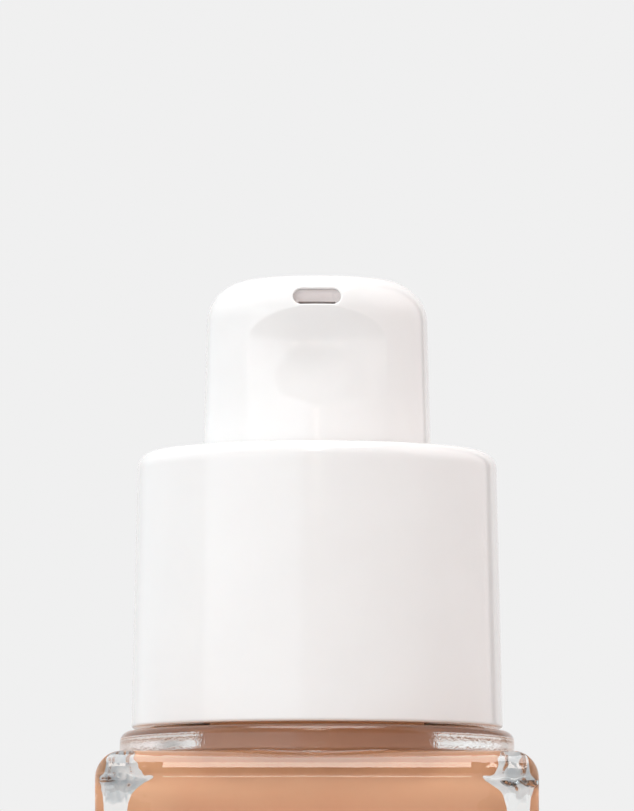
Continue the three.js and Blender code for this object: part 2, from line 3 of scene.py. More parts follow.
import bpy
import numpy as np
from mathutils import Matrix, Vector


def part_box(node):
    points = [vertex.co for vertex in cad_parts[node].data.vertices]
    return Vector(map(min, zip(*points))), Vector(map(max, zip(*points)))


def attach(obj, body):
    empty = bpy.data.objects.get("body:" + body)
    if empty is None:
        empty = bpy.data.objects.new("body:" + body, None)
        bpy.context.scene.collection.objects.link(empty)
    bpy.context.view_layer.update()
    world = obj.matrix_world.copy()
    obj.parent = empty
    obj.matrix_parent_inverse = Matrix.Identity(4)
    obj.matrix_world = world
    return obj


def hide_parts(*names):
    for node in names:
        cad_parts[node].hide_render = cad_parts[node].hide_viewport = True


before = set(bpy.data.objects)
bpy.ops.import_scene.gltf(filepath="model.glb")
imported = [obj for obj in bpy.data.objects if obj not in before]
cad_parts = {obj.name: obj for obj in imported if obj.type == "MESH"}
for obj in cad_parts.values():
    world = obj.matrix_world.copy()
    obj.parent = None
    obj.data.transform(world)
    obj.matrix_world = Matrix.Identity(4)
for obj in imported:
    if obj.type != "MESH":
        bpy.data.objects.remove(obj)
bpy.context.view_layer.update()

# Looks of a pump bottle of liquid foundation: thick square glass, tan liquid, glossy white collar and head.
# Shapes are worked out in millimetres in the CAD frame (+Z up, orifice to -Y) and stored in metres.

MM = 0.001
TURN = 2 * math.pi


def box_mm(node):
    low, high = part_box(node)
    return np.array(low) / MM, np.array(high) / MM


# ------------------------------------------------------------------ sizes, from the frame

COLLAR_LOW, COLLAR_HIGH = box_mm("collar_shell")
HEAD_LOW, HEAD_HIGH = box_mm("head_shell")
HOUSING_LOW, HOUSING_HIGH = box_mm("pump_housing")
HALF_WIDTH, _, NECK_TOP = box_mm("glass_bottle")[1]
LIQUID_TOP = box_mm("foundation_liquid")[1][2]
TUBE_BASE = box_mm("dip_tube")[0][2]

COLLAR_BASE, COLLAR_TOP = COLLAR_LOW[2], COLLAR_HIGH[2]
HEAD_BASE, HEAD_TOP = HEAD_LOW[2], HEAD_HIGH[2]

STEP_TOP = COLLAR_BASE - 0.25       # top of the round glass step under the collar
STEP_HEIGHT = 2.2
BODY_HEIGHT = STEP_TOP - STEP_HEIGHT
BODY_EDGE = 2.3
BODY_CORNER = 1.0
STEP_RADIUS = 16.4
STEP_COVE = 0.3                     # hollow round where the step meets the body
NECK_RADIUS = 8.9
BORE_RADIUS = 6.5
CAVITY_HALF = HALF_WIDTH - 2.5
CAVITY_CORNER = 4.4
DOME_TOP = BODY_HEIGHT - 1.4
DOME_HEIGHT = 3.4
DOME_FULLNESS = 2.8
CAVITY_FLOOR = 10.0
FLOOR_EDGE_WIDTH = 4.0
FLOOR_EDGE_HEIGHT = 2.6
THREAD_PITCH = 3.175
THREAD_TURNS = 1.25
THREAD_START = STEP_TOP + 4.2
THREAD_HEIGHT = 0.85

TUBE_RADIUS = 1.45
SOCKET_RADIUS = 2.6
HOUSING_RADIUS = 5.2
CHAMBER_FLOOR = HOUSING_HIGH[2] - 18.8

HEAD_RADIUS = 9.5
HEAD_DRAFT = 0.027
HEAD_EDGE = 3.6
HEAD_WALL = 1.15
HEAD_PAD = 0.3                      # depth of the dish in the head's top
ORIFICE_HALF = 3.94 / 2
ORIFICE_RADIUS = 1.31 / 2
ORIFICE_Z = HEAD_TOP - 2.0


# ------------------------------------------------------------------ profiles and meshes


def unit(vector):
    return vector / np.linalg.norm(vector)


def rounded(corners, closed=False, steps=8, support=0.1):
    """A profile through (radius, z, rounding) corners. Each arc has a guard point either side."""
    profile = []
    count = len(corners)
    for i, (radius, z, rounding) in enumerate(corners):
        here = np.array([radius, z], float)
        if rounding == 0 or (not closed and i in (0, count - 1)):
            profile.append(here)
            continue
        before = unit(np.array(corners[i - 1][:2], float) - here)
        after = unit(np.array(corners[(i + 1) % count][:2], float) - here)
        half = math.acos(np.clip(before @ after, -1, 1)) / 2
        reach = rounding / math.tan(half)
        centre = here + unit(before + after) * rounding / math.sin(half)
        start = here + before * reach - centre
        end = here + after * reach - centre
        first = math.atan2(start[1], start[0])
        sweep = (math.atan2(end[1], end[0]) - first + math.pi) % TURN - math.pi
        profile.append(here + before * (reach + support * min(rounding, 1)))
        for k in range(steps + 1):
            angle = first + sweep * k / steps
            profile.append(centre + rounding * np.array([math.cos(angle), math.sin(angle)]))
        profile.append(here + after * (reach + support * min(rounding, 1)))
    return np.array(profile)


class Shape:
    """Points and faces of one mesh, built row by row. Rows run anticlockwise seen from above."""

    def __init__(self):
        self.points = []
        self.faces = []

    def row(self, points):
        first = len(self.points)
        self.points.extend(np.asarray(points, float))
        return list(range(first, len(self.points)))

    def join(self, low, high, wrap=True):
        count = len(low)
        for i in range(count if wrap else count - 1):
            j = (i + 1) % count
            self.faces.append((low[i], low[j], high[j], high[i]))

    def fan_start(self, centre, row):
        middle = self.row([centre])[0]
        count = len(row)
        for i in range(count):
            self.faces.append((middle, row[(i + 1) % count], row[i]))

    def fan_end(self, row, centre):
        middle = self.row([centre])[0]
        count = len(row)
        for i in range(count):
            self.faces.append((row[i], row[(i + 1) % count], middle))


def circle_row(radius, z, angles):
    return np.stack([radius * np.cos(angles), radius * np.sin(angles), np.full(len(angles), z)], 1)


def turned(shape, profile, around=128, closed=False):
    """Adds a profile turned about Z. An open profile starts and ends on the axis."""
    angles = np.arange(around) * TURN / around
    if closed:
        rows = [shape.row(circle_row(r, z, angles)) for r, z in profile]
        for low, high in zip(rows, rows[1:] + rows[:1]):
            shape.join(low, high)
        return
    rows = [shape.row(circle_row(r, z, angles)) for r, z in profile[1:-1]]
    shape.fan_start((0, 0, profile[0][1]), rows[0])
    for low, high in zip(rows, rows[1:]):
        shape.join(low, high)
    shape.fan_end(rows[-1], (0, 0, profile[-1][1]))


def make_piece(name, shape, material, body, nodes, sharp=50):
    mesh = bpy.data.meshes.new(name)
    mesh.from_pydata([tuple(p * MM) for p in shape.points], [], shape.faces)
    mesh.validate()
    mesh.polygons.foreach_set("use_smooth", [True] * len(mesh.polygons))
    mesh.set_sharp_from_angle(angle=math.radians(sharp))
    piece = bpy.data.objects.new(name, mesh)
    bpy.context.scene.collection.objects.link(piece)
    mesh.materials.append(material)
    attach(piece, body)
    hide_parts(*nodes)
    return piece


# ------------------------------------------------------------------ materials


def math_node(tree, operation, *values):
    node = tree.nodes.new("ShaderNodeMath")
    node.operation = operation
    for socket, value in zip(node.inputs, values):
        if isinstance(value, (int, float)):
            socket.default_value = value
        else:
            tree.links.new(value, socket)
    return node.outputs[0]


class Nodes:
    """Short names for building a material's node tree."""

    def __init__(self, name):
        self.material = bpy.data.materials.new(name)
        self.material.use_nodes = True
        self.tree = self.material.node_tree
        self.shader = self.tree.nodes["Principled BSDF"]
        self.place = self.add("ShaderNodeTexCoord").outputs["Object"]

    def add(self, kind):
        return self.tree.nodes.new(kind)

    def link(self, output, target):
        self.tree.links.new(output, target)

    def noise(self, scale, detail=3.0, roughness=0.5):
        node = self.add("ShaderNodeTexNoise")
        node.inputs["Scale"].default_value = scale
        node.inputs["Detail"].default_value = detail
        node.inputs["Roughness"].default_value = roughness
        self.link(self.place, node.inputs["Vector"])
        return node.outputs["Fac"]

    def ramp(self, value, low, high, start=0.3, end=0.7):
        node = self.add("ShaderNodeValToRGB")
        node.color_ramp.elements[0].position = start
        node.color_ramp.elements[0].color = (*low, 1)
        node.color_ramp.elements[1].position = end
        node.color_ramp.elements[1].color = (*high, 1)
        self.link(value, node.inputs["Fac"])
        return node.outputs["Color"]

    def span(self, value, low, high):
        node = self.add("ShaderNodeMapRange")
        node.inputs["From Min"].default_value = 0.3
        node.inputs["From Max"].default_value = 0.7
        node.inputs["To Min"].default_value = low
        node.inputs["To Max"].default_value = high
        self.link(value, node.inputs["Value"])
        return node.outputs["Result"]

    def times(self, first, second):
        return math_node(self.tree, "MULTIPLY", first, second)

    def plus(self, first, second):
        return math_node(self.tree, "ADD", first, second)

    def position(self):
        """The shaded point's distance from the middle planes, sideways and in depth, and its height, in mm."""
        split = self.add("ShaderNodeSeparateXYZ")
        self.link(self.place, split.inputs[0])
        across, depth, height = (math_node(self.tree, "DIVIDE", output, MM) for output in split.outputs)
        across = math_node(self.tree, "ABSOLUTE", across)
        depth = math_node(self.tree, "ABSOLUTE", depth)
        return across, depth, height

    def rise(self, value, start, end):
        """0 below start, 1 above end."""
        node = self.add("ShaderNodeMapRange")
        node.inputs["From Min"].default_value = start
        node.inputs["From Max"].default_value = end
        self.link(value, node.inputs["Value"])
        return node.outputs["Result"]

    def bump(self, height, strength, distance):
        node = self.add("ShaderNodeBump")
        node.inputs["Strength"].default_value = strength
        node.inputs["Distance"].default_value = distance
        self.link(height, node.inputs["Height"])
        self.link(node.outputs["Normal"], self.shader.inputs["Normal"])

    def set(self, **values):
        for key, value in values.items():
            self.shader.inputs[key.replace("_", " ")].default_value = value


def plastic(name, dark, light, roughness, subsurface, bump_scale, bump_depth):
    """Moulded plastic: a faint colour drift, a roughness that wanders, and moulding texture."""
    nodes = Nodes(name)
    nodes.link(nodes.ramp(nodes.noise(160, 4), dark, light), nodes.shader.inputs["Base Color"])
    nodes.link(nodes.span(nodes.noise(420, 3), *roughness), nodes.shader.inputs["Roughness"])
    nodes.bump(nodes.noise(bump_scale, 3, 0.6), 0.3, bump_depth)
    nodes.set(IOR=1.49, Subsurface_Weight=subsurface, Subsurface_Scale=0.0012)
    nodes.set(Subsurface_Radius=(1.0, 0.75, 0.65))
    return nodes.material


def glass_material():
    """Thick moulded glass, wavy all over, with folds and painted dark glints at its top corners, and a grainy
    step.
    """
    corner_start, corner_end = 12.5, 15.5
    # The second colour is painted dark glints: a dark tint that stands in for dark surroundings refracted
    # through the top corners.
    clear, painted_glint_tint = (0.99, 1, 0.995), (0.4, 0.45, 0.48)
    nodes = Nodes("clear_glass")
    nodes.link(nodes.span(nodes.noise(700, 3), 0.0, 0.012), nodes.shader.inputs["Roughness"])
    across, depth, height = nodes.position()
    sideways = nodes.rise(across, corner_start, corner_end)
    upright = nodes.times(sideways, nodes.rise(depth, corner_start, corner_end))
    corner = nodes.times(upright, nodes.rise(height, 44.5, 47.5))
    # Painted dark glints: noise patches darken the glass's colour at the top corners, where dark refractions
    # would show.
    shade = nodes.times(corner, nodes.noise(330, 3, 0.6))
    nodes.link(nodes.ramp(shade, clear, painted_glint_tint, 0.4, 0.58), nodes.shader.inputs["Base Color"])
    step = nodes.rise(height, BODY_HEIGHT - 0.3, BODY_HEIGHT + 0.1)
    pressed = nodes.times(nodes.noise(180, 2), 0.0075)
    folds = nodes.times(corner, nodes.times(nodes.noise(300, 2, 0.5), 0.5))
    grain = nodes.times(step, nodes.times(nodes.noise(3200, 3, 0.6), 0.022))
    nodes.bump(nodes.plus(pressed, nodes.plus(folds, grain)), 1.0, MM)
    nodes.set(IOR=1.51, Transmission_Weight=1.0)
    return nodes.material


def liquid_material():
    """Opaque tan foundation: fine pigment mottling under a faintly uneven skin against the glass."""
    nodes = Nodes("foundation")
    dark, light = (0.97, 0.5, 0.28), (0.98, 0.53, 0.3)
    nodes.link(nodes.ramp(nodes.noise(260, 5, 0.6), dark, light), nodes.shader.inputs["Base Color"])
    nodes.link(nodes.span(nodes.noise(500, 3), 0.42, 0.55), nodes.shader.inputs["Roughness"])
    nodes.bump(nodes.noise(900, 3), 0.1, 0.00002)
    nodes.set(IOR=1.4, Specular_IOR_Level=0.0)
    return nodes.material


def steel_material():
    """Drawn stainless wire and ball, with fine drawing marks."""
    nodes = Nodes("steel")
    dark, bright = (0.55, 0.56, 0.58), (0.72, 0.73, 0.74)
    nodes.link(nodes.ramp(nodes.noise(900, 4), dark, bright), nodes.shader.inputs["Base Color"])
    nodes.link(nodes.span(nodes.noise(2500, 4), 0.16, 0.32), nodes.shader.inputs["Roughness"])
    nodes.bump(nodes.noise(4000, 3), 0.15, 0.00001)
    nodes.set(Metallic=1.0)
    return nodes.material


# name, darkest and lightest colour, roughness, subsurface, grain size and grain depth
WHITE_GLOSS = plastic(
    "white_gloss", (0.89, 0.88, 0.875), (0.91, 0.9, 0.895), (0.09, 0.13), 0.06, 1500, 0.000004)
NATURAL = plastic(
    "natural_plastic", (0.74, 0.73, 0.69), (0.8, 0.79, 0.75), (0.34, 0.44), 0.3, 1200, 0.00001)
TUBE = plastic(
    "tube_plastic", (0.7, 0.7, 0.67), (0.78, 0.78, 0.75), (0.3, 0.42), 0.4, 900, 0.00001)
SOFT = plastic(
    "soft_plastic", (0.72, 0.72, 0.69), (0.77, 0.77, 0.74), (0.5, 0.62), 0.3, 1600, 0.00001)
FOAM = plastic(
    "gasket_foam", (0.66, 0.66, 0.62), (0.76, 0.76, 0.72), (0.75, 0.9), 0.1, 5000, 0.00004)
# The spout's off-white plastic is darkened and tinted pink with painted shade, which stands in for the shadow
# inside the orifice.
SPOUT_PAINTED_SHADE = plastic(
    "spout_plastic_painted_shade", (0.72, 0.66, 0.65), (0.78, 0.72, 0.71), (0.25, 0.35), 0.2, 1200, 0.000006)
GLASS = glass_material()
LIQUID = liquid_material()
STEEL = steel_material()


# CAD pieces that keep their CAD shape, and the finish each takes
CAD_FINISHES = {
    "inner_cap": NATURAL,
    "neck_gasket": FOAM,
    "pump_housing": NATURAL,
    "stem_guide": NATURAL,
    "dip_tube": TUBE,
    "inlet_ball": STEEL,
    "return_spring": STEEL,
    "piston": SOFT,
    "piston_seat": NATURAL,
    "pump_stem": NATURAL,
}


def finish_node(name, material):
    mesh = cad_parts[name].data
    for i in range(len(mesh.materials)):
        mesh.materials[i] = material


# ------------------------------------------------------------------ glass bottle and liquid


def crowded_angles(per_quarter=72, crowding=0.8):
    """Directions round the bottle, closer together at its four upright corners."""
    part = np.arange(4 * per_quarter) / per_quarter
    return (part + crowding * np.sin(TURN * part) / TURN) * math.pi / 2


ANGLES = crowded_angles()


def square_reach(half, corner, angles=ANGLES):
    """How far a rounded square's edge lies from its middle in each direction."""
    folded = np.abs((angles + math.pi / 4) % (math.pi / 2) - math.pi / 4)
    flat = half / np.cos(folded)
    inner = half - corner
    along = inner * (np.cos(folded) + np.sin(folded))
    curved = along + np.sqrt(np.maximum(along**2 - 2 * inner**2 + corner**2, 0))
    return np.where(half * np.tan(folded) <= inner, flat, curved)


def polar_row(reach, z, angles=ANGLES):
    height = np.broadcast_to(z, reach.shape)
    return np.stack([reach * np.cos(angles), reach * np.sin(angles), height], 1)


def round_row(radius, z):
    return polar_row(np.full(len(ANGLES), float(radius)), z)


def square_row(half, corner, z):
    return polar_row(square_reach(half, max(corner, 0.01)), z)


def inset_of(reach):
    """How far in from the body's outline, in plan, a point lies in each direction."""
    x, y = np.abs(reach * np.cos(ANGLES)), np.abs(reach * np.sin(ANGLES))
    inner = HALF_WIDTH - BODY_CORNER
    over = np.hypot(np.maximum(x - inner, 0), np.maximum(y - inner, 0))
    inside = np.minimum(np.maximum(x, y) - inner, 0)
    return BODY_CORNER - over - inside


def top_height(inset):
    """Height of the body's top at an inset from its outline: a quarter round, then flat."""
    fall = np.clip(BODY_EDGE - inset, 0, BODY_EDGE)
    return BODY_HEIGHT - BODY_EDGE + np.sqrt(BODY_EDGE**2 - fall**2)


def body_outside_rows():
    """The body from the middle of its base up to the foot of the round step."""
    half, corner, edge = HALF_WIDTH, BODY_CORNER, BODY_EDGE
    dish_radius, dish_depth = 12.0, 0.5
    rows = []
    for k in range(1, 9):
        part = k / 8
        rows.append(round_row(dish_radius * part, dish_depth * (1 - part**2) ** 1.5))
    rows.append(round_row(dish_radius + 0.5, 0))
    rows.append(square_row(half - edge - 0.2, corner - edge, 0))
    steps = 14
    for k in range(steps + 1):
        angle = k / steps * math.pi / 2
        inset = edge * (1 - math.sin(angle))
        rows.append(square_row(half - inset, corner - inset, edge * (1 - math.cos(angle))))
    for z in (edge + 0.15, 12, 24, 36, BODY_HEIGHT - edge - 0.15):
        rows.append(square_row(half, corner, z))
    foot_radius = STEP_RADIUS + STEP_COVE
    foot_inset = inset_of(np.full(len(ANGLES), foot_radius))
    most = np.arccos(1 - np.minimum(foot_inset, edge) / edge)
    outline = square_reach(half, corner)
    for k in range(steps + 1):
        inset = edge * (1 - np.cos(most * k / steps))
        reach = np.array([
            square_reach(half - i, max(corner - i, 0.01), np.array([a]))[0]
            for i, a in zip(inset, ANGLES)
        ])
        rows.append(polar_row(np.minimum(reach, outline), top_height(inset)))
    last = np.linalg.norm(rows[-1][:, :2], axis=1)
    for part in (0.02, 0.1, 0.4, 0.75):
        reach = last + (foot_radius - last) * part
        rows.append(polar_row(reach, top_height(inset_of(reach))))
    rows.append(polar_row(np.full(len(ANGLES), foot_radius), top_height(foot_inset)))
    return rows


def thread_height(z):
    """How far the round screw thread stands out of the neck in each direction at a height."""
    out = np.zeros(len(ANGLES))
    for turn in range(-1, 3):
        along = ANGLES / TURN + turn
        middle = THREAD_START + THREAD_PITCH * along
        fade = np.clip(np.minimum(along, THREAD_TURNS - along) / 0.04, 0, 1)
        off = np.clip(1 - ((z - middle) / THREAD_HEIGHT) ** 2, 0, 1)
        out = np.maximum(out, THREAD_HEIGHT * np.sqrt(off) * np.sqrt(fade))
    return out


def neck_outside_rows():
    """The round step, the neck with its thread, and the rim."""
    rows = []
    around = np.ones(len(ANGLES))
    foot = np.minimum(top_height(inset_of(around * (STEP_RADIUS + STEP_COVE))), BODY_HEIGHT)
    for k in range(1, 6):
        angle = k / 5 * math.pi / 2
        z = foot + (BODY_HEIGHT + STEP_COVE - foot) * (1 - math.cos(angle))
        rows.append(polar_row(around * (STEP_RADIUS + STEP_COVE * (1 - math.sin(angle))), z))
    for radius, z in rounded([
        (STEP_RADIUS, BODY_HEIGHT + STEP_COVE, 0),
        (STEP_RADIUS, STEP_TOP, 0.9),
        (NECK_RADIUS, STEP_TOP, 0.8),
        (NECK_RADIUS, STEP_TOP + 2, 0),
    ], steps=10)[1:]:
        rows.append(round_row(radius, z))
    for z in np.arange(STEP_TOP + 2.6, NECK_TOP - 0.8, 0.12):
        rows.append(polar_row(NECK_RADIUS + thread_height(z), z))
    for radius, z in rounded([
        (NECK_RADIUS, NECK_TOP - 0.75, 0),
        (NECK_RADIUS, NECK_TOP, 0.6),
        (BORE_RADIUS, NECK_TOP, 0.4),
        (BORE_RADIUS, NECK_TOP - 2, 0),
    ], steps=6):
        rows.append(round_row(radius, z))
    return rows


def cavity_rows(grow=0.0, top=None):
    """The inside from the bore down to the floor, made larger all round by grow."""
    rows = []
    bore = BORE_RADIUS + grow
    flare = 2.0
    mouth = bore + flare
    dome_top = DOME_TOP + grow
    wall = square_reach(CAVITY_HALF + grow, CAVITY_CORNER + grow)
    for z in np.linspace(top or NECK_TOP - 2.5, dome_top + flare + 0.1, 5):
        rows.append(round_row(bore, z))
    for k in range(9):
        turn = k / 8 * math.pi / 2
        rows.append(round_row(bore + flare * (1 - math.cos(turn)), dome_top + flare * (1 - math.sin(turn))))
    steps = 40
    for k in range(1, steps + 1):
        turn = k / steps * math.pi / 2
        out = math.sin(turn) ** (2 / DOME_FULLNESS)
        up = math.cos(turn) ** (2 / DOME_FULLNESS)
        rows.append(polar_row(mouth + (wall - mouth) * out, dome_top - DOME_HEIGHT * (1 - up)))
    floor = CAVITY_FLOOR - grow
    for z in np.linspace(dome_top - DOME_HEIGHT - 0.3, floor + FLOOR_EDGE_HEIGHT + 0.2, 9):
        rows.append(polar_row(wall, z))
    steps = 16
    for k in range(steps + 1):
        turn = k / steps * math.pi / 2
        inset = FLOOR_EDGE_WIDTH * (1 - math.cos(turn))
        z = floor + FLOOR_EDGE_HEIGHT * (1 - math.sin(turn))
        rows.append(square_row(CAVITY_HALF + grow - inset, CAVITY_CORNER + grow - inset, z))
    last = np.linalg.norm(rows[-1][:, :2], axis=1)
    for part in (0.97, 0.7, 0.4, 0.15):
        rows.append(polar_row(last * part, floor))
    return rows


def build_glass():
    shape = Shape()
    rows = [shape.row(r) for r in body_outside_rows() + neck_outside_rows() + cavity_rows()]
    shape.fan_start((0, 0, 0.5), rows[0])
    for low, high in zip(rows, rows[1:]):
        shape.join(low, high)
    shape.fan_end(rows[-1], (0, 0, CAVITY_FLOOR))
    return make_piece("bottle_glass", shape, GLASS, "bottle", ["glass_bottle"])


def build_liquid():
    """The liquid wets the glass, so its mesh reaches a hair into it; it leaves room round the pump."""
    wet = 0.02
    room = 0.25
    tube, socket, housing = TUBE_RADIUS + room, SOCKET_RADIUS + room, HOUSING_RADIUS + room
    edge_height = LIQUID_TOP - 0.12
    foot = TUBE_BASE - 0.5
    shape = Shape()
    rows = [shape.row(r) for r in reversed(cavity_rows(wet, LIQUID_TOP))]
    shape.fan_start((0, 0, CAVITY_FLOOR - wet), rows[0])
    inside = [
        (BORE_RADIUS - 0.3, edge_height),
        (housing + 0.3, edge_height),
        (housing, LIQUID_TOP),
        (housing, CHAMBER_FLOOR - 1.6),
        (socket, CHAMBER_FLOOR - 4.6),
        (socket, HOUSING_LOW[2] - room),
        (tube, HOUSING_LOW[2] - room),
        (tube, foot),
    ]
    rows += [shape.row(round_row(radius, z)) for radius, z in inside]
    for low, high in zip(rows, rows[1:]):
        shape.join(low, high)
    shape.fan_end(rows[-1], (0, 0, foot))
    return make_piece("liquid_fill", shape, LIQUID, "bottle", ["foundation_liquid"], sharp=35)


# ------------------------------------------------------------------ collar


def build_collar():
    base, top = COLLAR_BASE, COLLAR_TOP
    low_radius = COLLAR_HIGH[0]
    draft = 0.0222
    high_radius = low_radius - draft * (top - base)
    wall = 1.45
    hole = HEAD_RADIUS + 0.33
    skirt_base = top - 5.9
    deck = top - 1.4
    shape = Shape()
    turned(shape, rounded([
        (low_radius, base, 0.25),
        (high_radius, top, 1.45),
        (hole, top, 0.3),
        (hole, skirt_base, 0.2),
        (hole + 0.9, skirt_base, 0.2),
        (hole + 1.1, deck, 0.2),
        (high_radius - wall, deck, 0.5),
        (low_radius - wall, base + 0.9, 0.1),
        (low_radius - wall - 0.45, base + 0.55, 0.1),
        (low_radius - wall, base, 0.15),
    ], closed=True, steps=12), around=256, closed=True)
    return make_piece("collar_cover", shape, WHITE_GLOSS, "collar", ["collar_shell"])


# ------------------------------------------------------------------ pump head


SCOOP_HALF = 5.8                    # half the hollow's width
SCOOP_TOP = ORIFICE_Z - ORIFICE_RADIUS - 0.1
SCOOP_ARCH = 3.0                    # height of its arched top
SCOOP_FALL = 5.8                    # how far below the arch it runs out
SCOOP_DEPTH = 1.25
SCOOP_SOFTNESS = 0.35               # roundness of its bottom, as a part of its width
SKIN_SPACING = 0.12                 # between the rows of points of the head's skins
WINDOW_ANGLE = math.radians(20)     # half the window that the orifice is set in


def head_profile(offset=0.0):
    """The head's outer profile from its skirt to the middle of its top, moved inwards by offset."""
    low = HEAD_RADIUS - offset
    high = HEAD_RADIUS - HEAD_DRAFT * (HEAD_TOP - COLLAR_TOP) - offset
    top = HEAD_TOP - offset
    return rounded([
        (low, HEAD_BASE, 0),
        (low, COLLAR_TOP, 0.5),
        (high, top, HEAD_EDGE - offset),
        (5.0, top, 1.5),
        (2.2, top - HEAD_PAD, 2.0),
        (0, top - HEAD_PAD, 0),
    ], steps=24)


def resample(profile, spacing):
    """Points along a profile a steady distance apart."""
    steps = np.hypot(*np.diff(profile, axis=0).T)
    along = np.concatenate([[0], np.cumsum(steps)])
    count = max(int(along[-1] / spacing), 2)
    at = np.linspace(0, along[-1], count + 1)
    return np.stack([np.interp(at, along, profile[:, 0]), np.interp(at, along, profile[:, 1])], 1)


def smooth_step(value):
    value = np.clip(value, 0, 1)
    return value * value * (3 - 2 * value)


def scoop_cut(x, z):
    """Depth of the hollow under the orifice, which has an arched top edge and runs out below."""
    widest = SCOOP_TOP - SCOOP_ARCH
    across = np.abs(x) / SCOOP_HALF
    up = np.maximum(z - widest, 0) / SCOOP_ARCH
    edge = np.hypot(1, SCOOP_SOFTNESS)
    out = np.hypot(np.hypot(across, up), SCOOP_SOFTNESS)
    dish = np.clip((edge - out) / (edge - SCOOP_SOFTNESS), 0, 1)
    run_out = 1 - smooth_step((widest - z) / SCOOP_FALL)
    return SCOOP_DEPTH * dish * run_out


class Skin:
    """One skin of the head: a profile turned about Z, with the hollow taken out of its front."""

    def __init__(self, profile, inward):
        self.profile = resample(profile, SKIN_SPACING)
        self.inward = inward
        self.peak = int(np.argmax(self.profile[:, 1]))

    def row_at(self, z):
        """Row number, with its fraction, where the profile passes a height on its way up."""
        return np.interp(z, self.profile[: self.peak, 1], np.arange(self.peak))

    def radius_at(self, row):
        return np.interp(row, np.arange(len(self.profile)), self.profile[:, 0])

    def points(self, angle, row):
        radius = self.radius_at(row)
        z = np.interp(row, np.arange(len(self.profile)), self.profile[:, 1])
        front = np.abs(angle) < math.pi / 2
        deep = radius - np.where(front, scoop_cut(radius * np.sin(angle), z), 0)
        return np.stack([deep * np.sin(angle), -deep * np.cos(angle), z], 1)

    def face(self, shape, corners):
        shape.faces.append(tuple(corners[::-1]) if self.inward else tuple(corners))

    def build(self, shape, angles, low, high):
        """All rows and faces but a window round the orifice. Gives the first row and the window's edge."""
        count = len(angles)
        levels = np.arange(len(self.profile) - 1.0)
        rows = [shape.row(self.points(angles, np.full(count, level))) for level in levels]
        inside = np.where(np.abs(angles) < WINDOW_ANGLE)[0]
        left, right = inside[0], inside[-1]
        for j in range(len(rows) - 1):
            for i in range(count):
                if low <= j < high and left <= i < right:
                    continue
                k = (i + 1) % count
                self.face(shape, (rows[j][i], rows[j][k], rows[j + 1][k], rows[j + 1][i]))
        middle = shape.row([(0, 0, self.profile[-1, 1])])[0]
        for i in range(count):
            self.face(shape, (rows[-1][i], rows[-1][(i + 1) % count], middle))
        path = [(i, low) for i in range(left, right)]
        path += [(right, j) for j in range(low, high)]
        path += [(i, high) for i in range(right, left, -1)]
        path += [(left, j) for j in range(high, low, -1)]
        loop = [rows[j][i] for i, j in path]
        return rows[0], loop, angles[[i for i, j in path]], np.array([j for i, j in path], float)

    def close_to_slot(self, shape, loop, angle, row, lip, steps=7):
        """Rings of points from the window's edge to the orifice's outline, then round its lip."""
        middle = self.row_at(ORIFICE_Z)
        across = self.radius_at(row) * np.sin(angle)
        up = (row - middle) * SKIN_SPACING
        length = np.hypot(across, up)
        across, up = across / length, up / length
        slot_x, slot_z = slot_outline(across, up, lip)
        slot_row = self.row_at(slot_z)
        slot_angle = np.arcsin(slot_x / self.radius_at(slot_row))
        rings = [loop]
        for k in range(1, steps + 1):
            part = k / steps
            between = self.points(angle + (slot_angle - angle) * part, row + (slot_row - row) * part)
            rings.append(shape.row(between))
        depth = np.array([shape.points[i][1] for i in rings[-1]])
        sign = -1 if self.inward else 1
        for k in range(1, 6):
            turn = k / 5 * math.pi / 2
            x, z = slot_outline(across, up, lip * (1 - math.sin(turn)))
            y = depth + sign * lip * (1 - math.cos(turn))
            rings.append(shape.row(np.stack([x, y, z], 1)))
        for outer, inner in zip(rings, rings[1:]):
            for i in range(len(outer)):
                k = (i + 1) % len(outer)
                self.face(shape, (outer[i], outer[k], inner[k], inner[i]))
        return rings[-1]


def slot_outline(across, up, grow=0.0):
    """Where rays from the orifice's middle cross its outline, grown outwards by grow."""
    radius = ORIFICE_RADIUS + grow
    straight = ORIFICE_HALF - ORIFICE_RADIUS
    dx, dz = np.abs(across), np.abs(up)
    flat = radius / np.maximum(dz, 1e-9)
    along = straight * dx
    curved = along + np.sqrt(np.maximum(along**2 - straight**2 + radius**2, 0))
    reach = np.where(flat * dx <= straight, flat, curved)
    return across * reach, ORIFICE_Z + up * reach


def front_angles():
    """Directions round the head from its back, closer together across its front."""
    front = np.arange(-44, 44.01, 0.7)
    side = np.arange(-180, -45, 3.0)
    return np.radians(np.concatenate([side, front, -side[:0:-1]]))


def build_head():
    angles = front_angles()
    outer = Skin(head_profile(), inward=False)
    inner = Skin(head_profile(HEAD_WALL), inward=True)
    reach = ORIFICE_RADIUS + 0.3
    outer_low = int(outer.row_at(ORIFICE_Z - reach))
    rows_tall = int(2 * reach / SKIN_SPACING) + 8
    inner_low = int(inner.row_at(ORIFICE_Z - reach))
    shape = Shape()
    outer_foot, *outer_window = outer.build(shape, angles, outer_low, outer_low + rows_tall)
    inner_foot, *inner_window = inner.build(shape, angles, inner_low, inner_low + rows_tall)
    for i in range(len(angles)):
        k = (i + 1) % len(angles)
        shape.faces.append((inner_foot[i], inner_foot[k], outer_foot[k], outer_foot[i]))
    outer_slot = outer.close_to_slot(shape, *outer_window, lip=0.14)
    inner_slot = inner.close_to_slot(shape, *inner_window, lip=0.05)
    for i in range(len(outer_slot)):
        k = (i + 1) % len(outer_slot)
        shape.faces.append((outer_slot[i], outer_slot[k], inner_slot[k], inner_slot[i]))
    return make_piece("head_cover", shape, WHITE_GLOSS, "head", ["head_shell"])


def slot_row(half, radius, z, y, count=48):
    """A slot outline on the XZ plane at a depth, anticlockwise seen from the front."""
    angles = np.arange(count) * TURN / count
    straight = half - radius
    middle = np.clip(np.cos(angles) * 9, -1, 1) * straight
    return np.stack([middle + radius * np.cos(angles), np.full(count, y), z + radius * np.sin(angles)], 1)


